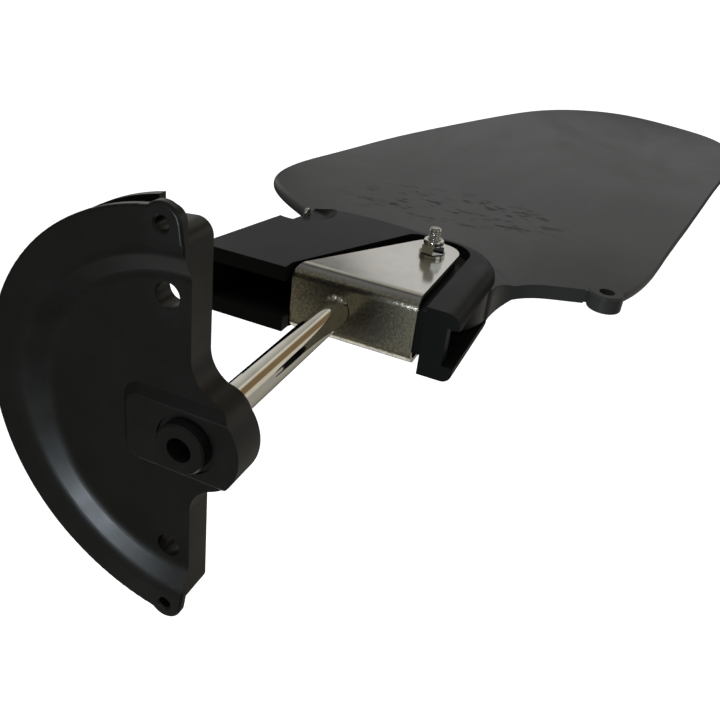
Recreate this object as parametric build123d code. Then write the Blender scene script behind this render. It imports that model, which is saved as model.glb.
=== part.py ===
from build123d import *
import math
import os

# A kick-up rudder for a small boat, in the position it has in use.
# The shaft's axis is Z, upwards, and z = 0 is the outer face of the bracket's web.
# X points aft and Y to starboard. Lengths are in millimetres.

os.makedirs("parts", exist_ok=True)

# Shaft: a polished bar with two flats and a tapped hole at its upper end
shaft_dia = 12.0
shaft_top = 103.0
flats_across = 10.0
flats_length = 17.0
tapped_dia = 6.8
tapped_depth = 20.0
shaft_chamfer = 0.8
weld_size = 1.5

# Steering quadrant: a half sheave whose flanges hold the rope in a groove
quadrant_radius = 75.0
quadrant_back = 96.0
quadrant_front = 110.5
flange_thick = 3.0
groove_depth = 6.0
drum_wall = 4.0
rim_round = 1.0
dish_depth = 4.1
rim_width = 13.0
dish_slope_width = 8.0
dish_blend = 8.0
brink_depth = 0.25
brink_slope = 4.0
side_wall = 3.2
side_corner = 5.0
rib_thick = 3.0
rib_angles = (112.0, 146.0, 180.0, 214.0, 248.0)
back_flange_end = 16.0
lobe_radius = 6.3
lobe_inset = 7.2
lobe_setback = 5.2
rope_hole_dia = 4.4
rope_hole_sink = 0.6
pin_hole_dia = 8.5
pin_hole_inset = 8.2
pin_hole_height = 46.9
pin_boss_wall = 2.2
pin_boss_depth = 4.2
rope_boss_wall = 2.0
rope_boss_depth = 3.2

# Hub of the quadrant, with its lug, raised pad and boss
lug_radius = 18.7
lug_blend = 12.0
hub_radius = 15.0
sleeve_radius = 10.0
sleeve_bottom = 86.0
pad_height = 2.6
pad_half_width = 11.8
pad_left = 21.7
pad_corner = 7.0
pad_slope = 48.0
boss_radius = 8.8
boss_height = 3.5
boss_groove_width = 1.7
boss_groove_depth = 1.0
boss_edge = 0.6
pad_round = 0.8
hub_bore_dia = 8.6

# Bracket: stainless sheet folded to a U that opens downwards
sheet = 2.0
bracket_half = 16.0
bend_radius = 6.0
web_left = 21.5
web_right = 35.4
flange_reach = 65.3
nose_left = 12.3
nose_slant = 3.0
nose_left_round = 5.0
nose_right_round = 10.5

# Blade pivot: a long bolt with a lock nut, a spacer tube and two thrust washers
pivot_x = 24.5
pivot_z = -48.3
bolt_dia = 6.0
bolt_hole_dia = 6.4
bolt_length = 45.0
bolt_head_height = 4.0
hex_across = 10.0
hex_chamfer = 0.5
washer_dia = 12.0
washer_thick = 1.6
nut_height = 6.2
nut_turn = 12.0
nut_collar_height = 2.2
nut_collar_dia = 9.4
insert_dia = 8.0
insert_height = 1.8
thread_gap = 0.05
bush_dia = 9.0
bush_bore = 6.2
bush_gap = 0.05
thrust_dia = 26.0
thrust_thick = 0.6

# Blade holder: two cheeks in one moulding, bridged behind the bracket's web
holder_half = 15.5
holder_face = 4.0
holder_left_top = 65.0
holder_left_low = 49.6
holder_low = 79.5
holder_belly = 82.2
belly_x = -14.0
holder_side = 54.8
side_round_upper = 6.4
side_round_lower = 4.5
slot_half = 8.7
slot_left = 18.0
bridge_low = 9.0
arm_inner = 40.0
arm_wall = 9.8
arm_low = 4.0
slot_round = 2.5
pocket_left = 23.0
recess_nose_left = 8.0
recess_end = 71.3
recess_left_round = 7.0
recess_right_round = 14.0
seat_inset = 1.0
scoop_radius = 16.7
scoop_depth = 4.5
scoop_lean = 52.0
scoop_blend = 4.0
corner_post_x = -50.0
corner_post_z = -66.0
corner_post_radius = 5.0
forward_wall = 3.5

# Line eye: a bent wire staple that stands in the holder's lower leading corner
eye_wire = 1.8
eye_span = 4.6
eye_top = 15.9
eye_x = -49.0
eye_z = -69.9
eye_embed = 3.6

# Blade: a moulded fin on a thick round head
head_radius = 30.0
head_half = 8.0
blade_half = 3.5
blade_edge_flat = 0.3
fairing_radius = 42.0
trailing_half = 1.3
taper_start = -10.0
trailing_reach = 172.0
trailing_lean = 8.0
arc_x = 89.9
arc_z = -47.1
arc_radius = 34.4
arc_end_slope = 22.0
arc_rim = 4.0
arc_rim_half = 3.6
stop_gap = 0.2
lug_x = 102.3
lug_z = -87.5
blade_lug_radius = 8.2
blade_lug_half = 4.2
blade_lug_hole = 7.6
blade_lug_edge = 1.0
shoulder_step = 12.0
shoulder_aft = -40.0
shoulder_forward = -53.0

# The blade's outer edge in X and Z, from its lug down the trailing edge and up the leading edge
trailing_edge = ((117, -114), (125, -160), (138, -251), (155, -371), (166, -452))
blade_tip = ((165, -506), (149, -547), (113, -573), (60, -588), (6, -556))
leading_edge = (
    (-38, -470), (-68, -372), (-90, -288), (-105, -212), (-111.5, -160), (-106, -137), (-95, -122))
leading_top = (-57, -91)

# Worked out from the sizes above
drum_radius = quadrant_radius - groove_depth
dish_rim_radius = quadrant_radius - rim_width
dish_floor_radius = dish_rim_radius - dish_slope_width
lobe_height = quadrant_radius - lobe_setback
front_low = quadrant_front - flange_thick
floor_front = quadrant_front - dish_depth
floor_back = floor_front - flange_thick
pad_top = floor_front + pad_height
boss_top = pad_top + boss_height
bend_inner = bend_radius - sheet
recess_floor = bracket_half - bend_radius
flange_inner = bracket_half - sheet
bolt_start = -bracket_half
bolt_end = bolt_start + bolt_length
nut_start = bracket_half + washer_thick
nut_end = nut_start + nut_height
arm_channel = arm_inner + arm_wall
side_radius = holder_side - pivot_x


def flat(outline, half):
    """A plate with this outline in X and Z, and the same reach on both sides of y = 0."""
    return extrude(Plane.XZ * outline, half, both=True)


def slab(outline, low, high):
    """A plate with this outline in X and Z, from y = low to y = high."""
    return Pos(0, high, 0) * extrude(Plane.XZ * outline, high - low)


def cross_pin(radius, low, high, x=pivot_x, z=pivot_z):
    """A cylinder across the blade, from y = low to y = high."""
    return Pos(x, (low + high) / 2, z) * Rot(90, 0, 0) * Cylinder(radius, high - low)


def upright(radius, low, high, x=0, y=0):
    """A cylinder along the shaft, from z = low to z = high."""
    return Pos(x, y, (low + high) / 2) * Cylinder(radius, high - low)


def block(x_range, y_range, z_range):
    """A box between three pairs of limits."""
    size = [abs(b - a) for a, b in (x_range, y_range, z_range)]
    middle = [(a + b) / 2 for a, b in (x_range, y_range, z_range)]
    return Pos(*middle) * Box(*size)


def near(items, x=None, y=None, z=None, reach=0.5):
    """The corners or edges whose middle lies at the given coordinates."""
    def fits(item):
        middle = item.center()
        wanted = ((middle.X, x), (middle.Y, y), (middle.Z, z))
        return all(goal is None or abs(value - goal) < reach for value, goal in wanted)
    return [item for item in items if fits(item)]


# Steering quadrant

def half_disc(radius):
    """The forward half of a disc, seen along the shaft."""
    return Circle(radius) & (Pos(-radius, 0) * Rectangle(2 * radius, 2 * radius))


def drum_outline():
    """The half drum with its lug, seen along the shaft."""
    outline = half_disc(drum_radius) + Circle(lug_radius)
    for side in (-1, 1):
        outline = fillet(near(outline.vertices(), x=0, y=side * lug_radius), lug_blend)
        outline = fillet(near(outline.vertices(), x=0, y=side * drum_radius), side_corner)
    return outline


def dish_cutter():
    """The shallow dish in the front of the quadrant, with soft edges, as the body that it removes."""
    above = quadrant_front + 10
    outside = quadrant_radius + 5
    brink = quadrant_front - brink_depth
    lift = (outside - dish_rim_radius) * math.tan(math.radians(brink_slope))
    face = make_face(Polyline(
        (0, floor_front), (dish_floor_radius, floor_front), (dish_rim_radius, brink),
        (outside, brink + lift), (outside, above), (0, above), close=True))
    face = fillet(near(face.vertices(), x=dish_floor_radius, y=floor_front), dish_blend)
    face = fillet(near(face.vertices(), x=dish_rim_radius, y=brink), dish_blend)
    return revolve(Plane.XZ * face, Axis.Z)


def lobe_touch(side):
    """Where the flange's edge, leaning in from the drum's corner, touches the lobe."""
    below = lobe_height - drum_radius + side_corner
    angle = math.acos(lobe_radius / math.hypot(lobe_inset, below)) - math.atan2(below, lobe_inset)
    return lobe_radius * math.cos(angle) - lobe_inset, side * (lobe_height + lobe_radius * math.sin(angle))


def front_flange():
    """The front rim, with a rounded lobe for the rope's end at each tip."""
    rim = half_disc(quadrant_radius)
    for side in (-1, 1):
        touch = lobe_touch(side)
        low, top = side * (drum_radius - side_corner), side * (quadrant_radius + 1)
        corner = make_face(Polyline(
            (0, low), touch, (-lobe_inset, touch[1]), (-lobe_inset, top), (1, top), (1, low), close=True))
        rim = rim - corner + Pos(-lobe_inset, side * lobe_height) * Circle(lobe_radius)
    plate = extrude(Pos(0, 0, quadrant_front - flange_thick) * rim, flange_thick)
    return fillet(plate.faces().sort_by(Axis.Z)[-1].edges(), rim_round)


def back_flange():
    """The back rim, which stops short of the tips."""
    ring = Circle(quadrant_radius) - Circle(drum_radius - 1)
    kept = Pos(-back_flange_end - quadrant_radius / 2, 0) * Rectangle(quadrant_radius, 2 * quadrant_radius)
    return extrude(Pos(0, 0, quadrant_back) * (ring & kept), flange_thick)


def back_hollow():
    """The hollow in the back of the drum, divided by straight ribs."""
    inside = drum_radius - drum_wall
    outline = Circle(inside) & (Pos(-side_wall - inside / 2, 0) * Rectangle(inside, 2 * inside))
    outline = outline - Circle(hub_radius)
    for angle in rib_angles:
        outline = outline - Rot(0, 0, angle) * Pos(inside / 2, 0) * Rectangle(inside + 1, rib_thick)
    return extrude(Pos(0, 0, quadrant_back) * outline, floor_back - quadrant_back)


def rope_hole(side):
    """The hole for the rope's end in a lobe, with a countersunk mouth."""
    low = front_low - rope_boss_depth - 1
    hole = upright(rope_hole_dia / 2, low, quadrant_front + 1, -lobe_inset, side * lobe_height)
    sink = Pos(-lobe_inset, side * lobe_height, quadrant_front - rope_hole_sink / 2)
    return hole + sink * Cone(rope_hole_dia / 2, rope_hole_dia / 2 + rope_hole_sink, rope_hole_sink)


def pin_hole(side):
    place = (-pin_hole_inset, side * pin_hole_height)
    return upright(pin_hole_dia / 2, floor_back - pin_boss_depth - 1, floor_front + 1, *place)


def hole_bosses(side):
    """The short tubes behind the quadrant's face that deepen the pin hole and the rope hole."""
    pin_place = (-pin_hole_inset, side * pin_hole_height)
    rope_place = (-lobe_inset, side * lobe_height)
    pin_boss = upright(pin_hole_dia / 2 + pin_boss_wall, floor_back - pin_boss_depth, floor_back, *pin_place)
    rope_boss = upright(rope_hole_dia / 2 + rope_boss_wall, front_low - rope_boss_depth, front_low, *rope_place)
    return pin_boss + rope_boss


def hub_pad():
    """The raised pad round the boss, with sloping flanks that run out onto the lug."""
    rise = math.tan(math.radians(pad_slope)) * pad_height
    length = 2 * (pad_left + rise)
    outline = RectangleRounded(length, 2 * (pad_half_width + rise), pad_corner)
    mound = extrude(Pos(0, 0, floor_front) * outline, pad_height, taper=pad_slope)
    mound = fillet(mound.faces().sort_by(Axis.Z)[-1].edges(), pad_round)
    return mound & extrude(Pos(0, 0, floor_front) * drum_outline(), pad_height)


def hub_socket():
    """The hole for the shaft's flatted end, and the bore above it."""
    round_hole = upright(shaft_dia / 2, sleeve_bottom - 1, shaft_top)
    flats = (-flats_across / 2, flats_across / 2)
    across = block((-shaft_dia, shaft_dia), flats, (sleeve_bottom - 1, shaft_top))
    return (round_hole & across) + upright(hub_bore_dia / 2, shaft_top - 1, boss_top + 1)


def hub_boss():
    boss = upright(boss_radius, pad_top - boss_groove_depth - 0.5, boss_top)
    return chamfer(boss.edges().sort_by(Axis.Z)[-1], boss_edge)


def steering_quadrant():
    body = extrude(Pos(0, 0, quadrant_back) * drum_outline(), front_low - quadrant_back)
    body = body - back_hollow() + front_flange() - dish_cutter() + back_flange()
    body = body + hub_pad() + upright(sleeve_radius, sleeve_bottom, quadrant_back + 1)
    body = body - upright(boss_radius + boss_groove_width, pad_top - boss_groove_depth, pad_top + 1)
    body = body + hub_boss() - hub_socket()
    for side in (-1, 1):
        body = body + hole_bosses(side) - rope_hole(side) - pin_hole(side)
    return body


# Shaft, weld and bracket

def rudder_shaft():
    bar = chamfer(upright(shaft_dia / 2, -sheet, shaft_top).edges().sort_by(Axis.Z)[-1], shaft_chamfer)
    for side in (-1, 1):
        far = side * shaft_dia
        beside = (side * flats_across / 2, far)
        bar = bar - block((-far, far), beside, (shaft_top - flats_length, shaft_top + 1))
    return bar - upright(tapped_dia / 2, shaft_top - tapped_depth, shaft_top + 1)


def shaft_weld():
    """A fillet weld round the shaft's foot, with a slightly hollow face."""
    inner = shaft_dia / 2
    section = Line((inner, 0), (inner + weld_size, 0)) + Line((inner, weld_size), (inner, 0))
    section = section + ThreePointArc(
        (inner + weld_size, 0), (inner + weld_size * 0.46, weld_size * 0.46), (inner, weld_size))
    return revolve(Plane.XZ * make_face(section), Axis.Z)


def flange_outline():
    """The bracket's tapering flange in X and Z, from the web down to its rounded nose."""
    outline = make_face(Polyline(
        (-web_left, 0), (web_right, 0), (web_right, -flange_reach), (nose_left + nose_slant, -flange_reach),
        (nose_left, -flange_reach + 5), close=True))
    outline = fillet(near(outline.vertices(), x=web_right, y=-flange_reach), nose_right_round)
    return fillet(near(outline.vertices(), x=nose_left + nose_slant, y=-flange_reach), nose_left_round)


def shaft_bracket():
    height = flange_reach + 10
    outer = Pos(0, -height / 2) * Rectangle(2 * bracket_half, height)
    outer = fillet(near(outer.vertices(), y=0), bend_radius)
    inner = Pos(0, -sheet - height / 2) * Rectangle(2 * flange_inner, height)
    inner = fillet(near(inner.vertices(), y=-sheet), bend_inner)
    folded = Pos(-web_left, 0, 0) * extrude(Plane.YZ * (outer - inner), web_left + web_right)
    folded = folded & flat(flange_outline(), bracket_half + 1)
    folded = folded - cross_pin(bolt_hole_dia / 2, -bracket_half - 1, bracket_half + 1)
    return folded - upright(shaft_dia / 2, -sheet - 1, 1)


# Blade holder

def holder_outline():
    """The holder in X and Z, with the pocket for the bracket's web in its upper edge."""
    low_left = (-holder_left_low, -holder_low)
    low_right = (pivot_x, pivot_z - side_radius)
    edges = Polyline(
        (holder_side, pivot_z), (holder_side, holder_face), (arm_inner, holder_face), (arm_inner, -sheet),
        (-pocket_left, -sheet), (-pocket_left, holder_face), (-holder_left_top, holder_face), low_left)
    belly = Spline(low_left, (belly_x, -holder_belly), low_right, tangents=[(1, -0.15), (1, 0)])
    turn = CenterArc((pivot_x, pivot_z), side_radius, -90, 90)
    return make_face(edges + belly + turn)


def recess_outline():
    """The recess for a bracket flange, a little larger than the flange."""
    outline = make_face(Polyline(
        (-pocket_left, holder_face + 1), (arm_inner, holder_face + 1), (arm_inner, -recess_end),
        (recess_nose_left, -recess_end), (-pocket_left, -sheet), close=True))
    outline = fillet(near(outline.vertices(), x=arm_inner, y=-recess_end), recess_right_round)
    return fillet(near(outline.vertices(), x=recess_nose_left, y=-recess_end), recess_left_round)


def slot_outline():
    """The room for the blade between the cheeks, open above on the left, below and aft."""
    far = 200
    outline = make_face(Polyline(
        (-far, far), (-slot_left, far), (-slot_left, -bridge_low), (web_right, -bridge_low),
        (arm_channel, -arm_low), (arm_channel, far), (far, far), (far, -far), (-far, -far), close=True))
    corners = near(outline.vertices(), x=-slot_left, y=-bridge_low)
    corners = corners + near(outline.vertices(), x=arm_channel, y=-arm_low)
    return fillet(corners, slot_round)


def forward_closing():
    """The wall that joins the cheeks along their forward edge, down to the corner post."""
    run = (holder_left_top - holder_left_low) / (holder_face + holder_low)
    foot = -holder_left_top + run * (holder_face - corner_post_z)
    return make_face(Polyline(
        (-holder_left_top, holder_face), (-holder_left_top + forward_wall, holder_face),
        (foot + forward_wall, corner_post_z), (foot, corner_post_z), close=True))


def seat():
    """The raised seat under each flange, which starts where the bend ends."""
    inner = offset(flange_outline(), -seat_inset)
    clear_of_bend = Pos(0, -100 - bend_radius - 1) * Rectangle(400, 200)
    return flat(inner & clear_of_bend, flange_inner)


def scoop():
    """The round hollow that the line eye stands in, with walls that lean outwards."""
    floor = holder_half - scoop_depth
    lean = math.tan(math.radians(scoop_lean))
    section = make_face(Polyline(
        (0, floor), (scoop_radius - scoop_depth * lean, floor), (scoop_radius + lean, holder_half + 1),
        (0, holder_half + 1), close=True))
    section = fillet(near(section.vertices(), x=scoop_radius - scoop_depth * lean, y=floor), scoop_blend)
    return Pos(corner_post_x, 0, corner_post_z) * Rot(-90, 0, 0) * revolve(Plane.XZ * section, Axis.Z)


def is_round_edge(edge):
    """True for the holder's aft side, its turn round the pivot and its lower edge."""
    start, end = edge @ 0, edge @ 1
    low = max(start.Z, end.Z) < max(-holder_low, pivot_z - side_radius) + 1
    outside = min(start.X, end.X) > pivot_x - 0.1 and max(start.X, end.X) > holder_side - 1
    aft = outside and min(start.Z, end.Z) < holder_face - 1
    return low or aft


def blade_holder():
    outline = holder_outline()
    body = flat(outline, holder_half)
    for side, radius in ((1, side_round_upper), (-1, side_round_lower)):
        rim = [e for e in near(body.edges(), y=side * holder_half) if is_round_edge(e)]
        body = fillet(rim, radius)
    for side in (-1, 1):
        ends = sorted((side * recess_floor, side * (holder_half + 1)))
        body = body - slab(recess_outline(), *ends)
    body = body + (seat() & flat(outline, holder_half))
    body = body - flat(slot_outline(), slot_half)
    post = Pos(corner_post_x, corner_post_z) * Circle(corner_post_radius)
    body = body + flat((post + forward_closing()) & outline, slot_half + 0.5)
    body = body - scoop() - cross_pin(bolt_hole_dia / 2, -bracket_half, bracket_half)
    return body - line_eye()


def line_eye():
    """A wire staple: two legs in the holder and a round top."""
    foot = holder_half - scoop_depth - eye_embed
    bow = eye_span / 2
    legs_top = eye_top - eye_wire / 2 - bow
    path = Polyline((0, foot), (0, legs_top))
    path = path + ThreePointArc((0, legs_top), (bow, legs_top + bow), (eye_span, legs_top))
    path = path + Polyline((eye_span, legs_top), (eye_span, foot))
    path = Plane(origin=(eye_x, 0, eye_z), x_dir=(0, 0, 1), z_dir=(-1, 0, 0)) * path
    start = path.edges().sort_by_distance((eye_x, foot, eye_z))[0]
    profile = Plane(origin=start @ 0, z_dir=start % 0) * Circle(eye_wire / 2)
    return sweep(profile, path)


# Blade

def fin_outline():
    """The blade in X and Z: trailing edge, round tip, swept leading edge, and a hollow arc at the head."""
    slope = math.radians(arc_end_slope)
    arc_end = (arc_x - arc_radius * math.sin(slope), arc_z - arc_radius * math.cos(slope))
    ledge_x = lug_x - blade_lug_radius * 0.6
    ledge_z = arc_end[1] - (ledge_x - arc_end[0]) * math.tan(slope)
    lug_side = (lug_x + blade_lug_radius * 0.8, lug_z - blade_lug_radius * 0.43)
    stop_z = corner_post_z - corner_post_radius - stop_gap
    step = (pivot_x - head_radius + 2, pivot_z + shoulder_step)
    outer = Spline(lug_side, *trailing_edge, *blade_tip, *leading_edge, leading_top)
    shoulder = Polyline(leading_top, (shoulder_forward, stop_z), (shoulder_aft, stop_z), step)
    across = Line(step, (arc_x - arc_radius, arc_z))
    hollow = CenterArc((arc_x, arc_z), arc_radius, 180, 90 - arc_end_slope)
    ledge = Polyline(arc_end, (ledge_x, ledge_z), lug_side)
    return make_face(outer + shoulder + across + hollow + ledge)


def taper():
    """What the fin is trimmed to: full thickness forward, thinning in a long curve to the trailing edge."""
    forward = -300
    aft = trailing_reach + 80
    length = 900
    upper = Line((forward, blade_half), (taper_start, blade_half))
    middle = ((taper_start + trailing_reach) / 2, blade_half - (blade_half - trailing_half) / 4)
    fall = ThreePointArc((taper_start, blade_half), middle, (trailing_reach, trailing_half))
    end = Polyline(
        (trailing_reach, trailing_half), (aft, 0.4), (aft, 0), (forward, 0), (forward, blade_half))
    half = make_face(upper + fall + end)
    section = half + mirror(half, Plane.XZ)
    return Rot(0, -trailing_lean, 0) * Pos(0, 0, -length) * extrude(section, 1.2 * length)


def head_fairing():
    """A cone that blends the thick head into the fin."""
    section = make_face(Polyline(
        (0, -head_half), (head_radius, -head_half), (fairing_radius, -blade_half),
        (fairing_radius, blade_half), (head_radius, head_half), (0, head_half), close=True))
    return Pos(pivot_x, 0, pivot_z) * Rot(-90, 0, 0) * revolve(Plane.XZ * section, Axis.Z)


def arc_bead(outline):
    """The slightly thicker edge along the hollow arc."""
    ring = Pos(arc_x, arc_z) * (Circle(arc_radius + arc_rim) - Circle(arc_radius))
    return flat(ring & outline, arc_rim_half)


def rudder_blade():
    outline = fin_outline()
    fin = flat(outline, blade_half)
    outer = [e for e in fin.edges() if e.length > 800]
    fin = fillet(outer, blade_half - blade_edge_flat) & taper()
    fairing = head_fairing() & flat(outline, head_half)
    blade_lug = cross_pin(blade_lug_radius, -blade_lug_half, blade_lug_half, lug_x, lug_z)
    blade_lug = fillet(blade_lug.edges().filter_by(GeomType.CIRCLE), blade_lug_edge)
    head = cross_pin(head_radius, -head_half, head_half)
    body = fin + fairing + arc_bead(outline) + head + blade_lug
    body = body - cross_pin(blade_lug_hole / 2, -20, 20, lug_x, lug_z)
    return body - cross_pin(bush_dia / 2 + bush_gap, -20, 20)


# Pivot hardware

def hexagon(low, high, turn=0):
    """A hexagonal prism across the blade, with its outer corners chamfered."""
    outline = Rot(0, 0, turn) * RegularPolygon(hex_across / 2, 6, major_radius=False)
    prism = slab(Pos(pivot_x, pivot_z) * outline, low, high)
    corner = hex_across / math.sqrt(3)
    turned = cross_pin(corner + 0.1, low, high)
    turned = chamfer(turned.edges().filter_by(GeomType.CIRCLE), hex_chamfer)
    return prism & turned


def pivot_bolt():
    shank = cross_pin(bolt_dia / 2, bolt_start, bolt_end)
    tip = [e for e in shank.edges().filter_by(GeomType.CIRCLE) if e.center().Y > 0]
    return chamfer(tip, 0.7) + hexagon(bolt_start - bolt_head_height, bolt_start)


def nut_washer():
    return cross_pin(washer_dia / 2, bracket_half, nut_start) - cross_pin(bolt_hole_dia / 2, 0, 40)


def pivot_nut():
    collar_start = nut_end - nut_collar_height
    collar = cross_pin(nut_collar_dia / 2, collar_start - 0.5, nut_end)
    rim = [e for e in collar.edges().filter_by(GeomType.CIRCLE) if e.center().Y > collar_start]
    body = hexagon(nut_start, collar_start, nut_turn) + fillet(rim, 0.8)
    pocket = cross_pin(insert_dia / 2, nut_end - insert_height - 0.3, nut_end - 0.3)
    mouth = cross_pin(insert_dia / 2 - 0.4, nut_end - 0.4, nut_end + 1)
    return body - pocket - mouth - cross_pin(bolt_dia / 2 + thread_gap, 0, 40)


def nut_insert():
    ring = cross_pin(insert_dia / 2, nut_end - insert_height - 0.3, nut_end - 0.3)
    return ring - cross_pin(bolt_dia / 2 + thread_gap, 0, 40)


def pivot_bush():
    return cross_pin(bush_dia / 2, -slot_half, slot_half) - cross_pin(bush_bore / 2, -20, 20)


def thrust_washer(side):
    ends = sorted((side * (slot_half - thrust_thick), side * slot_half))
    return cross_pin(thrust_dia / 2, *ends) - cross_pin(bush_dia / 2 + bush_gap, -20, 20)


PARTS = {
    "steering_quadrant": steering_quadrant,
    "rudder_shaft": rudder_shaft,
    "shaft_weld": shaft_weld,
    "shaft_bracket": shaft_bracket,
    "blade_holder": blade_holder,
    "line_eye": line_eye,
    "rudder_blade": rudder_blade,
    "pivot_bolt": pivot_bolt,
    "nut_washer": nut_washer,
    "pivot_nut": pivot_nut,
    "nut_insert": nut_insert,
    "pivot_bush": pivot_bush,
    "thrust_washer_starboard": lambda: thrust_washer(1),
    "thrust_washer_port": lambda: thrust_washer(-1),
}

for name, build in PARTS.items():
    export_step(build(), f"parts/{name}.step")
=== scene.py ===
import math

import bmesh
import bpy
from mathutils import Matrix, Vector


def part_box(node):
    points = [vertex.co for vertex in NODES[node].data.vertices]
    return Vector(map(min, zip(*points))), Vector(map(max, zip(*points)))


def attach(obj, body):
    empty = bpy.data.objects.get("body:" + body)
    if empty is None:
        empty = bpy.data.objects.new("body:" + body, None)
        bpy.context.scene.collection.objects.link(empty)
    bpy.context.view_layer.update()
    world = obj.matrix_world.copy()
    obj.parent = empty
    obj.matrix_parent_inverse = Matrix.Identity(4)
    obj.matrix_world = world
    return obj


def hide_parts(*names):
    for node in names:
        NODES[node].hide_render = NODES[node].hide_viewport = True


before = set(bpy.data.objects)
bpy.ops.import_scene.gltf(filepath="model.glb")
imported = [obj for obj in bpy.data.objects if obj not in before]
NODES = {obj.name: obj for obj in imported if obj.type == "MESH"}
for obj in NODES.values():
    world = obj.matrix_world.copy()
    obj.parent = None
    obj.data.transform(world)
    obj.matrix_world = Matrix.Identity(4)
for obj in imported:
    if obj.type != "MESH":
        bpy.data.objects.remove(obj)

bl_info = {
    "name": "Kick-up Rudder",
    "version": (1, 0, 0),
    "blender": (4, 5, 0),
    "location": "3D View > Sidebar > Rudder",
    "description": "Finishes, fine parts and stage for a kick-up rudder with a steering quadrant",
    "category": "Object",
}

# Places in the object's frame, in metres: +X aft, +Y starboard, +Z up along the shaft

HEAD = "steering_head"
PIVOT = Vector((0.0245, 0.0, -0.0483))
BOLT_PLACE = Matrix.Translation(PIVOT) @ Matrix.Rotation(math.radians(-90), 4, "X")
THREADED_LENGTH = 0.007
THREAD_RADIUS = 0.00297
CORE_OVERLAP = 0.00003
WELD_LIFT = 0.0002
HEAVY_SIDE = (-0.17, 0.98, 0.0)
BLADE_LUG = (0.1023, 0.0, -0.0875)
BLADE_LEAN = math.radians(-12)
SCUFF_SHIFT = (-0.038, 0, 0.155)
CHEEK_FACE = (0.0095, 0.0102)
SHARP_EDGE = math.radians(28)

# Shares of the thread's pitch or depth, and of the weld's height

FOOT_HALF = 0.525
CREST_HALF = 0.1
FOOT_SUNK = 0.3
PLAIN_TURN = 0.75
FADE_OUT = 14.0
THIN_BEAD = 0.3

# The room that the polished metal mirrors, in degrees from aft towards starboard

DARK_END = (0.01, 0.01, 0.01)
WARM_WALL = (0.75, 0.7, 0.6)
WOOD = (0.24, 0.17, 0.09)
WINDOW = (0.75, 0.75, 0.7)
PALE_WALL = (0.7, 0.7, 0.66)
ROOM = (
    (-180, DARK_END), (-112, DARK_END), (-92, (0.2, 0.19, 0.16)), (-40, (0.4, 0.38, 0.33)),
    (8, (0.42, 0.4, 0.37)), (20, WARM_WALL), (38, (0.72, 0.66, 0.55)),
    (43, WOOD), (76, WOOD), (81, (0.55, 0.44, 0.25)),
    (86, WINDOW), (95, WINDOW), (101, (0.42, 0.4, 0.35)), (150, PALE_WALL), (180, PALE_WALL),
)

# The stage

FLOOR_REACH = 6.0
CAMERA_PLACE = (0.108042, 0.14424, 0.266226)
CAMERA_TURN = (0.9534307, -0.2180383, 0.1827843, 0.1000955)
CAMERA_LENS = 37.8969
CAMERA_SHIFT = -0.06
WHITE = (1, 1, 1, 1)


# Sizes and colours that a user would change

class FinishSettings(bpy.types.PropertyGroup):
    moulding: bpy.props.FloatVectorProperty(
        name="Black moulding", description="Colour of the quadrant and the holder",
        subtype="COLOR", size=3, min=0, max=1, default=(0.0068, 0.0073, 0.0064))
    # The cheeks' colour is painted light: it makes the holder's flat outer faces paler, standing in for the
    # light that falls on them.
    cheeks: bpy.props.FloatVectorProperty(
        name="Rubbed cheeks", description="Colour of the holder's outer faces, rubbed paler by handling",
        subtype="COLOR", size=3, min=0, max=1, default=(0.034, 0.036, 0.036))
    blade: bpy.props.FloatVectorProperty(
        name="Blade", description="Colour of the blade's grey moulding",
        subtype="COLOR", size=3, min=0, max=1, default=(0.0352, 0.0352, 0.034))
    steel: bpy.props.FloatVectorProperty(
        name="Steel", description="Colour of the bare stainless steel",
        subtype="COLOR", size=3, min=0, max=1, default=(0.66, 0.645, 0.60))
    nylon: bpy.props.FloatVectorProperty(
        name="Nylon", description="Colour of the lock nut's ring, the bush and the washers",
        subtype="COLOR", size=3, min=0, max=1, default=(0.62, 0.61, 0.56))


class ThreadSettings(bpy.types.PropertyGroup):
    pitch: bpy.props.FloatProperty(
        name="Pitch", description="Rise of the thread in one turn", unit="LENGTH",
        default=0.001, min=0.0005, max=0.003)
    depth: bpy.props.FloatProperty(
        name="Depth", description="Height of the thread from root to crest", unit="LENGTH",
        default=0.00055, min=0.0002, max=0.002)


class ShaftSettings(bpy.types.PropertyGroup):
    sides: bpy.props.IntProperty(
        name="Sides", description="Flat strips round the polished shaft", default=192, min=24, max=512)
    flatted_end: bpy.props.FloatProperty(
        name="Flatted end", description="Length of the upper end that has flats and a tapped hole",
        unit="LENGTH", default=0.022, min=0.018, max=0.05)


class WeldSettings(bpy.types.PropertyGroup):
    ripples: bpy.props.IntProperty(
        name="Ripples", description="Number of drops round the bead", default=14, min=6, max=120)
    height: bpy.props.FloatProperty(
        name="Height", description="Height of the bead against the shaft", unit="LENGTH",
        default=0.0019, min=0.0005, max=0.004)


class StageSettings(bpy.types.PropertyGroup):
    floor_height: bpy.props.FloatProperty(
        name="Floor height", description="Height of the floor in the object's frame",
        unit="LENGTH", default=-0.625)
    key_power: bpy.props.FloatProperty(
        name="Key power", description="Power of the large lamp on the starboard side",
        unit="POWER", default=6.8)


# Node helpers

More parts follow.
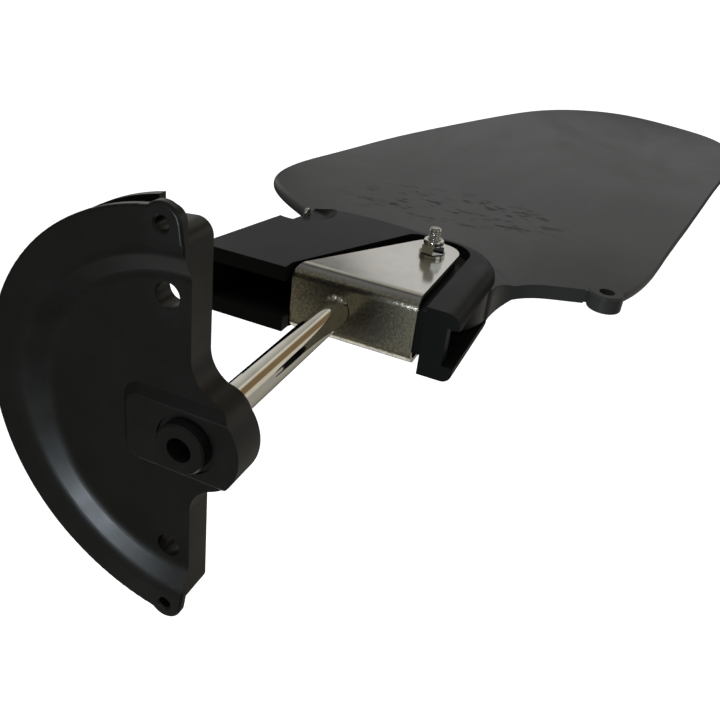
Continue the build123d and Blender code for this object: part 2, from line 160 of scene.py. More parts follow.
class Graph:
    """Adds nodes to a tree and links them by socket name."""

    def __init__(self, tree):
        self.tree = tree

    def add(self, kind, inputs=None, **settings):
        node = self.tree.nodes.new(kind)
        for key, value in settings.items():
            setattr(node, key, value)
        for key, value in (inputs or {}).items():
            self.put(node.inputs[key], value)
        return node

    def put(self, socket, value):
        if isinstance(value, bpy.types.NodeSocket):
            self.tree.links.new(value, socket)
        else:
            socket.default_value = value

    def math(self, operation, a, b=0.0, clamp=False):
        return self.add("ShaderNodeMath", {0: a, 1: b}, operation=operation, use_clamp=clamp).outputs[0]

    def vector(self, operation, a, b):
        return self.add("ShaderNodeVectorMath", {0: a, 1: b}, operation=operation).outputs["Vector"]

    def dot(self, a, b):
        return self.add("ShaderNodeVectorMath", {0: a, 1: b}, operation="DOT_PRODUCT").outputs["Value"]

    def length(self, vector):
        return self.add("ShaderNodeVectorMath", {0: vector}, operation="LENGTH").outputs["Value"]

    def part(self, vector, axis):
        return self.add("ShaderNodeSeparateXYZ", {0: vector}).outputs[axis]

    def noise(self, place, scale, detail=3.0, roughness=0.55, distortion=0.0):
        node = self.add("ShaderNodeTexNoise", {
            "Vector": place, "Scale": scale, "Detail": detail,
            "Roughness": roughness, "Distortion": distortion})
        return node.outputs["Fac"]

    def remap(self, value, low, high, out_low=0.0, out_high=1.0):
        node = self.add("ShaderNodeMapRange", {
            "Value": value, "From Min": low, "From Max": high, "To Min": out_low, "To Max": out_high})
        node.interpolation_type = "SMOOTHSTEP"
        return node.outputs["Result"]

    def blend(self, factor, a, b):
        node = self.add("ShaderNodeMix", data_type="RGBA")
        for name, value in (("Factor_Float", factor), ("A_Color", a), ("B_Color", b)):
            self.put(next(s for s in node.inputs if s.identifier == name), value)
        return next(s for s in node.outputs if s.identifier == "Result_Color")

    def place(self, scale=(1, 1, 1), turn=(0, 0, 0), shift=(0, 0, 0)):
        coordinates = self.add("ShaderNodeTexCoord")
        mapping = self.add("ShaderNodeMapping", {
            "Vector": coordinates.outputs["Object"], "Scale": scale, "Rotation": turn, "Location": shift})
        return mapping.outputs["Vector"]

    def facing(self, axis):
        """How far the surface faces along an axis of the object, from -1 to 1."""
        return self.part(self.add("ShaderNodeTexCoord").outputs["Normal"], axis)

    def bump(self, height, distance, strength=1.0, under=None):
        inputs = {"Height": height, "Distance": distance, "Strength": strength}
        if under is not None:
            inputs["Normal"] = under
        return self.add("ShaderNodeBump", inputs).outputs["Normal"]

    def metal(self, base, rough, normal):
        return self.add("ShaderNodeBsdfPrincipled", {
            "Base Color": base, "Metallic": 1.0, "Roughness": rough, "Normal": normal})

    def plastic(self, base, rough, normal, shine):
        return self.add("ShaderNodeBsdfPrincipled", {
            "Base Color": base, "Roughness": rough, "Normal": normal,
            "IOR": 1.5, "Specular IOR Level": shine})

    def mix(self, factor, first, second):
        return self.add("ShaderNodeMixShader", {0: factor, 1: first.outputs[0], 2: second.outputs[0]})

    def surface(self, shader):
        output = self.add("ShaderNodeOutputMaterial")
        self.tree.links.new(shader.outputs[0], output.inputs["Surface"])

    def join(self, *parts):
        """One geometry out of several, in Geometry Nodes."""
        node = self.add("GeometryNodeJoinGeometry")
        for part in parts:
            self.tree.links.new(part, node.inputs[0])
        return node.outputs[0]


def new_material(name):
    material = bpy.data.materials.new(name)
    material.use_nodes = True
    material.node_tree.nodes.clear()
    return material


def grey(colour, factor):
    """The colour made darker or paler, with its alpha."""
    return tuple(min(1.0, c * factor) for c in colour) + (1.0,)


# Finishes

def moulded_plastic(name, colour, roughness, shine, rubbed=None):
    """Satin black moulding: spark texture, cloudy gloss, a little dust and, if given, paler cheeks as
    painted light.
    """
    material = new_material(name)
    g = Graph(material.node_tree)
    place = g.place()
    cloud = g.noise(place, 55.0, 4.0)
    fine = g.noise(place, 2600.0, 2.0)
    dust = g.remap(g.noise(place, 240.0, 5.0, 0.7), 0.62, 0.8)
    base = g.blend(cloud, grey(colour, 0.85), grey(colour, 1.18))
    base = g.blend(g.math("MULTIPLY", dust, 0.25), base, grey(colour, 2.6))
    # Painted light: the flat outer faces of the cheeks take the paler colour.
    if rubbed:
        base = g.blend(painted_light_on_cheeks(g, cloud), base, grey(rubbed, 1.0))
    clouded = g.remap(cloud, 0.3, 0.7, roughness - 0.04, roughness + 0.05)
    rough = g.math("ADD", clouded, g.math("MULTIPLY", dust, 0.08))
    normal = g.bump(fine, 0.00002, 0.35)
    normal = g.bump(g.noise(place, 160.0, 2.0), 0.00012, 0.12, normal)
    g.surface(g.plastic(base, rough, normal, shine))
    return material


def painted_light_on_cheeks(g, cloud):
    """Painted light: 1 on the flat outer faces of the holder's cheeks, made paler for the light that falls
    on them, less towards the arm and where the cloud is thin.
    """
    place = g.add("ShaderNodeSeparateXYZ", {0: g.place()})
    outside = g.remap(g.math("ABSOLUTE", place.outputs["Y"]), *CHEEK_FACE)
    flat = g.remap(g.math("ABSOLUTE", g.facing("Y")), 0.85, 0.99)
    # Painted light: the cheeks grow paler towards the leading end.
    paler_ahead = g.remap(place.outputs["X"], -0.07, 0.05, 1.0, 0.35)
    cheek_light_share = g.math("MULTIPLY", paler_ahead, g.remap(cloud, 0.3, 0.7, 0.75, 1.0))
    return g.math("MULTIPLY", g.math("MULTIPLY", outside, flat), cheek_light_share)


def scuffed_patch(g):
    """1 on the blade's starboard face just below the holder, where it is rubbed, and 0 elsewhere."""
    place = g.place((1.0, 1.0, 1.0), (0, BLADE_LEAN, 0), SCUFF_SHIFT)
    away = g.length(g.vector("MULTIPLY", place, (13.0, 40.0, 27.0)))
    starboard = g.remap(g.part(g.place(), "Y"), 0.0, 0.001)
    return g.math("MULTIPLY", g.remap(away, 0.55, 1.1, 1.0, 0.0), starboard)


def blade_tone(g, colour, flow, cloud):
    """Mottled by the moulding's flow, darker on the faces round the lug, and paler far from it as a painted
    sheen.
    """
    base = g.blend(g.remap(flow, 0.3, 0.72), grey(colour, 0.86), grey(colour, 1.16))
    base = g.blend(g.math("MULTIPLY", g.remap(cloud, 0.35, 0.7), 0.35), base, grey(colour, 1.3))
    from_lug = g.length(g.vector("SUBTRACT", g.place(), BLADE_LUG))
    on_face = g.remap(g.math("ABSOLUTE", g.facing("Y")), 0.6, 0.95)
    # Darker on the flat faces round the lug.
    darker_near_lug = g.math("MULTIPLY", g.remap(from_lug, 0.01, 0.1, 0.8, 0.0), on_face)
    base = g.blend(darker_near_lug, base, grey(colour, 0.3))
    # Painted sheen: the blade grows paler far from the lug.
    return g.blend(g.remap(from_lug, 0.12, 0.3, 0.0, 0.5), base, grey(colour, 1.9))


def blade_plastic(colour):
    """Dark grey moulding of the blade, with its scuffs near the holder."""
    material = new_material("grey_moulding")
    g = Graph(material.node_tree)
    place = g.place()
    flow = g.noise(g.place((1.0, 1.0, 0.45), (0, BLADE_LEAN, 0)), 14.0, 5.0, 0.6, 0.6)
    cloud = g.noise(place, 42.0, 4.0, 0.6)
    scuff_place = g.place((0.55, 1.0, 1.0), (0, math.radians(-8), 0))
    scuffs = g.remap(g.noise(scuff_place, 170.0, 5.0, 0.66), 0.53, 0.64)
    rubbed = g.math("MULTIPLY", scuffs, scuffed_patch(g))
    base = blade_tone(g, colour, flow, cloud)
    base = g.blend(g.math("MULTIPLY", rubbed, 0.45), base, grey(colour, 0.45))
    rough = g.math("ADD", g.remap(flow, 0.3, 0.7, 0.30, 0.40), g.math("MULTIPLY", rubbed, 0.25))
    normal = g.bump(g.noise(place, 1900.0, 2.0), 0.00002, 0.3)
    normal = g.bump(cloud, 0.0002, 0.12, normal)
    g.surface(g.plastic(base, rough, normal, 0.2))
    return material


def bare_steel(name, colour, rough_low, rough_high, stretch=(1, 1, 1), streak=0.3, relief=0.15, painted_shade_lines=()):
    """Bare stainless steel with a directional grain, and painted shade: dark lines where two small pieces
    meet.
    """
    material = new_material(name)
    g = Graph(material.node_tree)
    place = g.place()
    grain = g.noise(g.place(stretch), 900.0, 3.0, 0.6)
    cloud = g.noise(place, 60.0, 4.0, 0.6)
    speck = g.noise(place, 700.0, 3.0, 0.7)
    base = g.blend(g.remap(cloud, 0.3, 0.7), grey(colour, 0.9), grey(colour, 1.06))
    base = g.blend(g.math("MULTIPLY", g.remap(grain, 0.35, 0.65), streak), base, grey(colour, 0.7))
    across = g.part(place, "Y")
    # Painted shade: a dark line at each given height stands in for the shade in the join.
    for shade_line_height in painted_shade_lines:
        away = g.math("ABSOLUTE", g.math("SUBTRACT", across, shade_line_height))
        base = g.blend(g.remap(away, 0.00012, 0.00024, 0.9, 0.0), base, grey(colour, 0.03))
    clouded = g.remap(cloud, 0.3, 0.7, rough_low, rough_high)
    rough = g.math("ADD", clouded, g.math("MULTIPLY", grain, 0.4 * rough_low))
    normal = g.bump(grain, 0.00002, 0.3 * streak)
    normal = g.bump(speck, 0.00004, relief, normal)
    g.surface(g.metal(base, rough, normal))
    return material


def sheet_tone(g, colour, place, web, cloud, grit, pits):
    """Clean on the flanges, darker and warmer on the web's upward face as a painted reflection, gritty on
    the web, with stains and pits all over.
    """
    stain = g.noise(place, 26.0, 4.0, 0.6, 0.8)
    base = g.blend(g.remap(cloud, 0.3, 0.7), grey(colour, 0.92), grey(colour, 1.05))
    # One warm dark tint gives the real stains and, on the web's upward face, a painted reflection.
    stain_and_reflection_tint = (colour[0] * 0.86, colour[1] * 0.80, colour[2] * 0.60, 1.0)
    stained = g.math("MULTIPLY", g.remap(stain, 0.45, 0.75), 0.3)
    base = g.blend(g.math("ADD", g.math("MULTIPLY", web, 0.55), stained), base, stain_and_reflection_tint)
    rubbed = g.math("ADD", grit, g.math("MULTIPLY", cloud, 0.6))
    dull = g.math("MULTIPLY", g.remap(rubbed, 0.68, 0.92), web)
    base = g.blend(g.math("MULTIPLY", dull, 0.65), base, grey(colour, 0.3))
    return g.blend(g.math("MULTIPLY", g.remap(pits, 0.55, 0.68), 0.12), base, grey(colour, 0.4))


def sheet_steel(colour):
    """Cold-rolled sheet: nearly mirror-like flanges and a duller web, under a share of haze."""
    material = new_material("bracket_steel")
    g = Graph(material.node_tree)
    place = g.place()
    web = g.remap(g.facing("Z"), 0.5, 0.95)
    pits = g.noise(place, 1500.0, 4.0, 0.75)
    cloud = g.noise(place, 70.0, 5.0, 0.65)
    grit = g.noise(place, 850.0, 3.0, 0.7)
    base = sheet_tone(g, colour, place, web, cloud, grit, pits)
    rough = g.math("ADD", g.remap(cloud, 0.3, 0.7, 0.11, 0.16), g.math("MULTIPLY", web, 0.06))
    normal = g.bump(pits, 0.00005, 0.1)
    normal = g.bump(grit, 0.0001, g.math("MULTIPLY", web, 0.6), normal)
    haze_share = g.remap(web, 0.0, 1.0, 0.32, 0.11)
    g.surface(g.mix(haze_share, g.metal(base, rough, normal), g.metal(base, 0.5, normal)))
    return material


def weld_steel(colour):
    """Pale, warm and smoother on the heavy side towards starboard as a painted highlight, dark where the
    bead is thin.
    """
    material = new_material("weld_metal")
    g = Graph(material.node_tree)
    place = g.place()
    # Painted highlight: the bead is pale and warm on its starboard side and dark elsewhere.
    bright = g.remap(g.dot(place, HEAVY_SIDE), 0.0036, 0.0052)
    yellowed = g.remap(g.noise(place, 500.0, 3.0), 0.45, 0.65)
    highlight_tint = g.blend(yellowed, (0.95, 0.9, 0.76, 1), grey(colour, 0.9))
    g.surface(g.add("ShaderNodeBsdfPrincipled", {
        "Base Color": g.blend(bright, grey(colour, 0.12), highlight_tint), "Metallic": 1.0,
        "Roughness": g.remap(bright, 0.0, 1.0, 0.35, 0.25)}))
    return material


def plain_nylon(colour):
    """White nylon, faintly mottled."""
    material = new_material("nylon")
    g = Graph(material.node_tree)
    place = g.place()
    base = g.blend(g.noise(place, 300.0, 3.0), grey(colour, 0.9), grey(colour, 1.05))
    g.surface(g.add("ShaderNodeBsdfPrincipled", {
        "Base Color": base, "Roughness": 0.45, "Normal": g.bump(g.noise(place, 2000.0), 0.00002, 0.3)}))
    return material


def finish_node(node, material):
    """Gives a CAD node its finish."""
    slots = NODES[node].data.materials
    slots.clear()
    slots.append(material)


def finish_of(node):
    """The finish that a CAD node wears now, for the finer piece that takes its place."""
    return NODES[node].data.materials[0]


class RUDDER_OT_finishes(bpy.types.Operator):
    """Give every carried-over part its moulded, brushed or polished finish"""
    bl_idname = "rudder.finishes"
    bl_label = "Finish the Parts"

    def execute(self, context):
        colours = context.scene.rudder_finish
        black = moulded_plastic("black_moulding", colours.moulding, roughness=0.33, shine=0.34)
        # The holder's moulding gets painted light: paler flat outer faces on its cheeks.
        rubbed = moulded_plastic(
            "holder_moulding", colours.moulding, roughness=0.4, shine=0.08, rubbed=tuple(colours.cheeks))
        polished = bare_steel(
            "polished_steel", colours.steel, 0.03, 0.05, stretch=(1, 1, 0.02), streak=0.1, relief=0.04)
        # Painted shade lines at the washer's two faces, where it meets the nut and the flange.
        low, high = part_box("nut_washer")
        small = bare_steel("fastener_steel", colours.steel, 0.07, 0.11, streak=0.08, painted_shade_lines=(low[1], high[1]))
        white = plain_nylon(colours.nylon)
        finish_node("steering_quadrant", black)
        finish_node("blade_holder", rubbed)
        finish_node("rudder_blade", blade_plastic(colours.blade))
        finish_node("rudder_shaft", polished)
        finish_node("shaft_bracket", sheet_steel(colours.steel))
        finish_node("shaft_weld", weld_steel(colours.steel))
        for node in ("pivot_bolt", "nut_washer", "pivot_nut", "line_eye"):
            finish_node(node, small)
        for node in ("nut_insert", "pivot_bush", "thrust_washer_starboard", "thrust_washer_port"):
            finish_node(node, white)
        return {"FINISHED"}


# Geometry Nodes helpers

def new_tree(name, inputs):
    """An empty Geometry Nodes tree with these named inputs, its graph and the sockets that give them."""
    tree = bpy.data.node_groups.new(name, "GeometryNodeTree")
    tree.interface.new_socket("Geometry", in_out="INPUT", socket_type="NodeSocketGeometry")
    tree.interface.new_socket("Geometry", in_out="OUTPUT", socket_type="NodeSocketGeometry")
    for label, kind in inputs:
        tree.interface.new_socket(label, in_out="INPUT", socket_type=kind)
    g = Graph(tree)
    return tree, g, g.add("NodeGroupInput").outputs


def close_tree(g, geometry, material, flat=None):
    """Ends a tree: instances made real, smooth shading except on the flat faces, and the finish."""
    smooth = g.add("GeometryNodeSetShadeSmooth", {"Geometry": geometry})
    if flat is not None:
        smooth = g.add("GeometryNodeSetShadeSmooth", {
            "Geometry": smooth.outputs[0], "Selection": flat, "Shade Smooth": False})
    real = g.add("GeometryNodeRealizeInstances", {"Geometry": smooth.outputs[0]})
    finish = g.add("GeometryNodeSetMaterial", {"Geometry": real.outputs[0], "Material": material})
    output = g.add("NodeGroupOutput")
    g.tree.links.new(finish.outputs[0], output.inputs[0])


def lifted(g, geometry, height):
    """The geometry moved up by this height."""
    move = g.add("ShaderNodeCombineXYZ", {"Z": height})
    return g.add("GeometryNodeTransform", {"Geometry": geometry, "Translation": move.outputs[0]}).outputs[0]


def grow(name, start_mesh, tree, values, place):
    """Runs a tree on a mesh and returns the result as an object at the origin, moved by place."""
    seed = bpy.data.objects.new(name + "_seed", start_mesh)
    bpy.context.scene.collection.objects.link(seed)
    modifier = seed.modifiers.new("grow", "NODES")
    modifier.node_group = tree
    for item in tree.interface.items_tree:
        if item.in_out == "INPUT" and item.name in values:
            modifier[item.identifier] = values[item.name]
    depsgraph = bpy.context.evaluated_depsgraph_get()
    mesh = bpy.data.meshes.new_from_object(seed.evaluated_get(depsgraph), depsgraph=depsgraph)
    bpy.data.objects.remove(seed)
    mesh.transform(place)
    mesh.name = name
    piece = bpy.data.objects.new(name, mesh)
    bpy.context.scene.collection.objects.link(piece)
    return piece


def kept_end(node, height, kept_above, place):
    """A merged copy of a node's mesh, cut across at this height along its own axis, which place gives."""
    work = bmesh.new()
    work.from_mesh(NODES[node].data)
    bmesh.ops.transform(work, matrix=place.inverted(), verts=work.verts)
    bmesh.ops.remove_doubles(work, verts=work.verts, dist=1e-6)
    everything = work.verts[:] + work.edges[:] + work.faces[:]
    bmesh.ops.bisect_plane(
        work, geom=everything, plane_co=(0, 0, height), plane_no=(0, 0, 1),
        clear_outer=not kept_above, clear_inner=kept_above)
    bmesh.ops.holes_fill(work, edges=[e for e in work.edges if e.is_boundary])
    for edge in work.edges:
        edge.smooth = edge.calc_face_angle(math.pi) < SHARP_EDGE
    mesh = bpy.data.meshes.new(node + "_end")
    work.to_mesh(mesh)
    work.free()
    return mesh


# Polished shaft

def shaft_tree(material):
    """A finely divided round bar, joined to the flatted and tapped end."""
    tree, g, given = new_tree("polished_bar", (
        ("Radius", "NodeSocketFloat"), ("Low", "NodeSocketFloat"), ("High", "NodeSocketFloat"),
        ("Sides", "NodeSocketInt")))
    low, high = given["Low"], given["High"]
    bar = g.add("GeometryNodeMeshCylinder", {
        "Vertices": given["Sides"], "Radius": given["Radius"], "Depth": g.math("SUBTRACT", high, low)})
    middle = g.math("MULTIPLY", g.math("ADD", high, low), 0.5)
    both = g.join(given["Geometry"], lifted(g, bar.outputs["Mesh"], middle))
    ends = g.add("FunctionNodeBooleanMath", {
        0: bar.outputs["Top"], 1: bar.outputs["Bottom"]}, operation="OR")
    close_tree(g, both, material, ends.outputs[0])
    return tree


class RUDDER_OT_shaft(bpy.types.Operator):
    """Turn the polished shaft finely enough for its mirror streaks to run straight"""
    bl_idname = "rudder.shaft"
    bl_label = "Turn the Shaft"

    def execute(self, context):
        settings = context.scene.rudder_shaft
        low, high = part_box("rudder_shaft")
        plain_end = high[2] - settings.flatted_end
        unmoved = Matrix.Identity(4)
        upper = kept_end("rudder_shaft", plain_end, True, unmoved)
        tree = shaft_tree(finish_of("rudder_shaft"))
        shaft = grow("polished_shaft", upper, tree, {
            "Radius": high[0], "Low": low[2], "High": plain_end, "Sides": settings.sides}, unmoved)
        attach(shaft, HEAD)
        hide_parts("rudder_shaft")
        return {"FINISHED"}


# Threaded bolt

def thread_profile(g, pitch, depth):
    """The ridge's section, a wide foot sunk into the core and a narrow crest, with its faces outwards."""
    foot = g.math("MULTIPLY", pitch, FOOT_HALF)
    crest = g.math("MULTIPLY", pitch, CREST_HALF)
    sunk = g.math("MULTIPLY", depth, -FOOT_SUNK)
    corners = (
        (depth, g.math("MULTIPLY", crest, -1.0)), (depth, crest),
        (sunk, foot), (sunk, g.math("MULTIPLY", foot, -1.0)))
    profile = g.add("GeometryNodeCurvePrimitiveQuadrilateral", mode="POINTS")
    for number, (out, along) in enumerate(corners, start=1):
        point = g.add("ShaderNodeCombineXYZ", {"X": out, "Y": along})
        g.put(profile.inputs[f"Point {number}"], point.outputs[0])
    return profile.outputs[0]


def thread_ridge(g, root, pitch, depth, length):
    """The ridge, swept along a helix and thinned out towards the bolt's end."""
    helix = g.add("GeometryNodeCurveSpiral", {
        "Resolution": 48, "Rotations": g.math("DIVIDE", length, pitch), "Start Radius": root,
        "End Radius": root, "Height": length, "Reverse": False})
    upright = g.add("GeometryNodeSetCurveNormal", {"Curve": helix.outputs[0]}, mode="Z_UP")
    run = g.add("GeometryNodeSplineParameter").outputs["Factor"]
    ends = g.math("MULTIPLY", g.math("SUBTRACT", 1.0, run), FADE_OUT, clamp=True)
    thinned = g.add("GeometryNodeSetCurveRadius", {"Curve": upright.outputs[0], "Radius": ends})
    ridge = g.add("GeometryNodeCurveToMesh", {
        "Curve": thinned.outputs[0], "Profile Curve": thread_profile(g, pitch, depth), "Fill Caps": True})
    return ridge.outputs[0]


def thread_tree(material):
    """A helical ridge on a thinner core, joined to the head and plain shank."""
    tree, g, given = new_tree("threaded_end", (
        ("Radius", "NodeSocketFloat"), ("Depth", "NodeSocketFloat"), ("Pitch", "NodeSocketFloat"),
        ("Low", "NodeSocketFloat"), ("High", "NodeSocketFloat")))
    depth, pitch = given["Depth"], given["Pitch"]
    root = g.math("SUBTRACT", given["Radius"], depth)
    length = g.math("SUBTRACT", given["High"], given["Low"])
    ridge_length = g.math("SUBTRACT", length, g.math("MULTIPLY", pitch, PLAIN_TURN))
    core = g.add("GeometryNodeMeshCylinder", {
        "Vertices": 48, "Side Segments": 1,
        "Radius": g.math("ADD", root, CORE_OVERLAP), "Depth": length})
    raised = lifted(g, core.outputs["Mesh"], g.math("MULTIPLY", length, 0.5))
    both = g.join(thread_ridge(g, root, pitch, depth, ridge_length), raised)
    whole = g.join(given["Geometry"], lifted(g, both, given["Low"]))
    close_tree(g, whole, material)
    return tree


class RUDDER_OT_bolt(bpy.types.Operator):
    """Make the pivot bolt with a real thread where it stands out of the lock nut"""
    bl_idname = "rudder.bolt"
    bl_label = "Cut the Bolt's Thread"

    def execute(self, context):
        settings = context.scene.rudder_thread
        low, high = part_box("pivot_bolt")
        shank_end = high[1] - THREADED_LENGTH
        tree = thread_tree(finish_of("pivot_bolt"))
        head = kept_end("pivot_bolt", shank_end, False, BOLT_PLACE)
        bolt = grow("threaded_bolt", head, tree, {
            "Radius": THREAD_RADIUS, "Depth": settings.depth, "Pitch": settings.pitch,
            "Low": shank_end, "High": high[1]}, BOLT_PLACE)
        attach(bolt, HEAD)
        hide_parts("pivot_bolt")
        return {"FINISHED"}


# Weld bead

def weld_drops(g, circle, given):
    """Flat drops laid round a circle, each leant a little, large on the heavy side and small elsewhere."""
    points = g.add("GeometryNodeCurveToPoints", {"Curve": circle, "Count": given["Ripples"]}, mode="COUNT")
    drop = g.add("GeometryNodeMeshUVSphere", {"Segments": 20, "Rings": 12, "Radius": given["Height"]})
    turn = g.add("FunctionNodeRandomValue", {
        "Min": (-0.55, -0.1, -0.15), "Max": (-0.25, 0.1, 0.15), "Seed": 4}, data_type="FLOAT_VECTOR")
    lean = g.add("FunctionNodeRotateRotation", {
        "Rotation": points.outputs["Rotation"], "Rotate By": turn.outputs[0]}, rotation_space="LOCAL")
    size = g.add("FunctionNodeRandomValue", {
        "Min": (0.85, 0.9, 0.9), "Max": (1.1, 1.06, 1.2), "Seed": 9}, data_type="FLOAT_VECTOR")
    side = g.dot(g.add("GeometryNodeInputPosition").outputs[0], given["Heavy Side"])
    heavy = g.remap(g.math("DIVIDE", side, given["Circle"]), 0.5, 0.78, 0.3, 1.0)
    grown = g.add("ShaderNodeVectorMath", {0: size.outputs[0], "Scale": heavy}, operation="SCALE")
    laid = g.add("GeometryNodeInstanceOnPoints", {
        "Points": points.outputs["Points"], "Instance": drop.outputs["Mesh"],
        "Rotation": lean.outputs[0], "Scale": grown.outputs[0]})
    return laid.outputs[0]


def weld_tree(material):
    """Overlapping drops on a thin unbroken bead, as a hand-made weld leaves them."""
    tree, g, given = new_tree("weld_bead", (
        ("Ripples", "NodeSocketInt"), ("Circle", "NodeSocketFloat"), ("Height", "NodeSocketFloat"),
        ("Heavy Side", "NodeSocketVector")))
    circle = g.add("GeometryNodeCurvePrimitiveCircle", {
        "Resolution": 96, "Radius": given["Circle"]}).outputs[0]
    section = g.add("GeometryNodeCurvePrimitiveCircle", {
        "Resolution": 12, "Radius": g.math("MULTIPLY", given["Height"], THIN_BEAD)})
    ring = g.add("GeometryNodeCurveToMesh", {"Curve": circle, "Profile Curve": section.outputs[0]})
    close_tree(g, g.join(weld_drops(g, circle, given), ring.outputs[0]), material)
    return tree


class RUDDER_OT_weld(bpy.types.Operator):
    """Lay the weld bead with its drops round the shaft's foot"""
    bl_idname = "rudder.weld"
    bl_label = "Lay the Weld Bead"

    def execute(self, context):
        settings = context.scene.rudder_weld
        low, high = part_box("shaft_weld")
        tree = weld_tree(finish_of("shaft_weld"))
        bead = grow("weld_bead", bpy.data.meshes.new("weld_seed"), tree, {
            "Ripples": settings.ripples, "Circle": high[0] - settings.height,
            "Height": settings.height, "Heavy Side": HEAVY_SIDE},
            Matrix.Translation((0, 0, low[2] + WELD_LIFT)))
        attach(bead, HEAD)
        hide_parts("shaft_weld")
        return {"FINISHED"}


# Stage

def light_rays(g):
    """Two factors: 1 for rays from the camera, and 1 for rays seen in gloss or through glass."""
    rays = g.add("ShaderNodeLightPath")
    return rays.outputs["Is Camera Ray"], g.math(
        "MAXIMUM", rays.outputs["Is Glossy Ray"], rays.outputs["Is Transmission Ray"])


def area_lamp(name, place, target, size, power, colour=(1, 1, 1), mirrored=True):
    """A rectangular lamp at a place, turned to its target and hidden from the camera."""
    data = bpy.data.lights.new(name, "AREA")
    data.shape = "RECTANGLE"
    data.size, data.size_y = size
    data.energy = power
    data.color = colour
    lamp = bpy.data.objects.new(name, data)
    bpy.context.scene.collection.objects.link(lamp)
    lamp.location = place
    lamp.rotation_euler = (Vector(target) - Vector(place)).to_track_quat("-Z", "Y").to_euler()
    lamp.visible_camera = False
    lamp.visible_glossy = mirrored


def ramp(g, factor, stops):
    """A colour ramp with the given (place, colour) stops."""
    node = g.add("ShaderNodeValToRGB", {"Fac": factor})
    elements = node.color_ramp.elements
    elements.remove(elements[0])
    for number, (place, colour) in enumerate(stops):
        element = elements[0] if number == 0 else elements.new(place)
        element.position = place
        element.color = colour + (1.0,)
    return node.outputs["Color"]


def room_round(g, x, y, reach):
    """What the gloss of the parts sees of the room at floor height, by the compass angle and distance."""
    angle = g.math("MULTIPLY", g.math("ARCTAN2", y, x), 180 / math.pi)
    part = g.math("DIVIDE", g.math("ADD", angle, 180.0), 360.0)
    wall = ramp(g, part, [((degrees + 180) / 360, colour) for degrees, colour in ROOM])
    # A dark curtain closes the room at an angle that grows with the distance
    curtain = g.math("ADD", g.math("MULTIPLY", reach, 290.0), 8.0)
    past = g.remap(g.math("SUBTRACT", angle, curtain), -10.0, 2.0)
    distant = g.remap(reach, 0.75, 1.7, 0.0, 0.88)
    return g.blend(g.math("MAXIMUM", past, distant), wall, (0.01, 0.01, 0.012, 1.0))


def floor_in_gloss(g):
    """What the gloss of the parts sees of the floor: pale patches under the object, the room further out."""
    parts = g.add("ShaderNodeSeparateXYZ", {0: g.add("ShaderNodeTexCoord").outputs["Object"]})
    x, y = parts.outputs["X"], parts.outputs["Y"]
    reach = g.length(g.add("ShaderNodeCombineXYZ", {"X": x, "Y": y}).outputs[0])
    far = g.remap(reach, 0.34, 0.42)
    patch = g.math("ADD", g.remap(y, 0.0, 0.03, 0.05, 0.38), g.remap(y, 0.195, 0.235, 0.0, 0.48))
    near = g.add("ShaderNodeCombineColor", {"Red": patch, "Green": patch, "Blue": patch})
    return g.blend(far, near.outputs[0], room_round(g, x, y, reach))


def floor_paper():
    """White paper that keeps the object's shadow, and that is clear from below."""
    material = new_material("floor_paper")
    g = Graph(material.node_tree)
    camera, glossy = light_rays(g)
    paper = g.add("ShaderNodeBsdfDiffuse", {"Color": (0.8, 0.8, 0.8, 1)})
    glow = g.add("ShaderNodeEmission", {"Color": WHITE, "Strength": 0.75})
    mirrored = g.add("ShaderNodeEmission", {"Color": floor_in_gloss(g), "Strength": 1.0})
    lit = g.add("ShaderNodeAddShader", {0: paper.outputs[0], 1: glow.outputs[0]})
    above = g.mix(glossy, g.mix(camera, paper, lit), mirrored)
    underside = g.add("ShaderNodeNewGeometry").outputs["Backfacing"]
    g.surface(g.mix(underside, above, g.add("ShaderNodeBsdfTransparent")))
    return material


def make_floor(height):
    """One large square under the object."""
    mesh = bpy.data.meshes.new("floor")
    corners = [
        (-FLOOR_REACH, -FLOOR_REACH, height), (FLOOR_REACH, -FLOOR_REACH, height),
        (FLOOR_REACH, FLOOR_REACH, height), (-FLOOR_REACH, FLOOR_REACH, height)]
    mesh.from_pydata(corners, [], [(0, 1, 2, 3)])
    mesh.materials.append(floor_paper())
    floor = bpy.data.objects.new("floor", mesh)
    bpy.context.scene.collection.objects.link(floor)


def world_in_gloss(g):
    """Tint and strength of what the gloss sees overhead, ahead, to starboard and in one bright panel aft."""
    place = g.add("ShaderNodeTexCoord").outputs["Generated"]
    parts = g.add("ShaderNodeSeparateXYZ", {0: place})
    leading = g.remap(parts.outputs["X"], -0.5, -0.2, 0.19, 0.15)
    overhead = g.remap(parts.outputs["Z"], 0.45, 0.85, 0.05, leading)
    side = g.math("ADD", overhead, g.remap(parts.outputs["Y"], 0.5, 0.95, 0.0, 0.12))
    panel = g.remap(g.dot(place, (0.88, 0.46, 0.08)), 0.86, 0.93)
    warm = g.blend(g.remap(parts.outputs["Y"], 0.3, 0.9), (1.0, 0.93, 0.7, 1), WHITE)
    tint = g.blend(panel, warm, (0.86, 0.93, 1.0, 1))
    return tint, g.math("ADD", side, g.math("MULTIPLY", panel, 0.8))


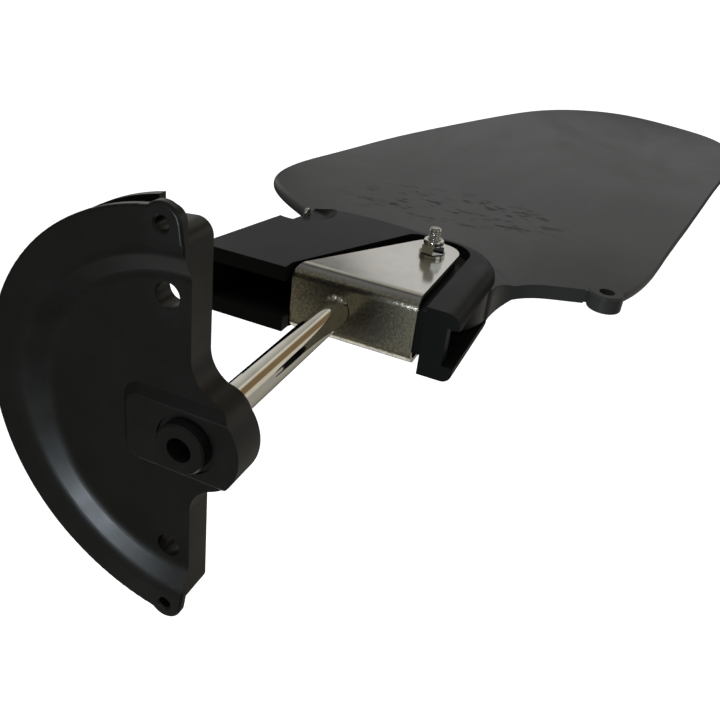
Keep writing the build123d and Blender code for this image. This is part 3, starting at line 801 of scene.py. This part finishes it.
def make_world():
    """A plain level of light, white to the camera, with some shape of its own in the gloss."""
    world = bpy.data.worlds.new("studio")
    bpy.context.scene.world = world
    world.use_nodes = True
    tree = world.node_tree
    tree.nodes.clear()
    g = Graph(tree)
    camera, glossy = light_rays(g)
    tint, strength = world_in_gloss(g)
    fill = g.add("ShaderNodeBackground", {"Color": WHITE, "Strength": 0.28})
    gloss = g.add("ShaderNodeBackground", {"Color": tint, "Strength": strength})
    white = g.add("ShaderNodeBackground", {"Color": WHITE, "Strength": 1.0})
    shown = g.mix(camera, g.mix(glossy, fill, gloss), white)
    output = g.add("ShaderNodeOutputWorld")
    tree.links.new(shown.outputs[0], output.inputs["Surface"])


def make_camera():
    """The photograph's camera, from starboard and above."""
    data = bpy.data.cameras.new("camera")
    data.sensor_width = 36.0
    data.lens = CAMERA_LENS
    data.shift_y = CAMERA_SHIFT
    data.clip_start, data.clip_end = 0.01, 50
    camera = bpy.data.objects.new("camera", data)
    bpy.context.scene.collection.objects.link(camera)
    camera.location = CAMERA_PLACE
    camera.rotation_mode = "QUATERNION"
    camera.rotation_quaternion = CAMERA_TURN
    bpy.context.scene.camera = camera


class RUDDER_OT_stage(bpy.types.Operator):
    """Set up the floor, the soft lamps and the camera"""
    bl_idname = "rudder.stage"
    bl_label = "Set the Stage"

    def execute(self, context):
        settings = context.scene.rudder_stage
        make_floor(settings.floor_height)
        make_world()
        make_camera()
        area_lamp(
            "starboard_light", place=(-0.25, 1.1, 0.1), target=(0, 0, -0.1), size=(0.9, 0.9),
            power=settings.key_power, mirrored=False)
        area_lamp(
            "window", place=(-0.02, -0.05, 1.15), target=(0, 0, 0.1), size=(0.16, 0.2),
            power=4.5, colour=(0.8, 0.9, 1.0))
        area_lamp("port_fill", place=(-0.3, -1.2, -0.1), target=(0, 0, -0.2), size=(1.0, 1.0), power=3.0)
        context.scene.view_settings.view_transform = "Standard"
        return {"FINISHED"}


class RUDDER_PT_panel(bpy.types.Panel):
    """Lists the rudder's pieces and their settings"""
    bl_idname = "RUDDER_PT_panel"
    bl_label = "Rudder"
    bl_space_type = "VIEW_3D"
    bl_region_type = "UI"
    bl_category = "Rudder"

    def draw(self, context):
        for operator in OPERATORS:
            self.layout.operator(operator.bl_idname)
        for group in SETTINGS:
            settings = getattr(context.scene, group)
            for name in SETTINGS[group].__annotations__:
                self.layout.prop(settings, name)


OPERATORS = (RUDDER_OT_finishes, RUDDER_OT_shaft, RUDDER_OT_bolt, RUDDER_OT_weld, RUDDER_OT_stage)
SETTINGS = {
    "rudder_finish": FinishSettings,
    "rudder_shaft": ShaftSettings,
    "rudder_thread": ThreadSettings,
    "rudder_weld": WeldSettings,
    "rudder_stage": StageSettings,
}
CLASSES = tuple(SETTINGS.values()) + OPERATORS + (RUDDER_PT_panel,)


def register():
    for cls in CLASSES:
        bpy.utils.register_class(cls)
    for name, group in SETTINGS.items():
        setattr(bpy.types.Scene, name, bpy.props.PointerProperty(type=group))


def unregister():
    for name in SETTINGS:
        delattr(bpy.types.Scene, name)
    for cls in reversed(CLASSES):
        bpy.utils.unregister_class(cls)


def main():
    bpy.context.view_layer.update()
    register()
    bpy.ops.rudder.finishes()
    bpy.ops.rudder.shaft()
    bpy.ops.rudder.bolt()
    bpy.ops.rudder.weld()
    bpy.ops.rudder.stage()


if __name__ == "__main__":
    main()
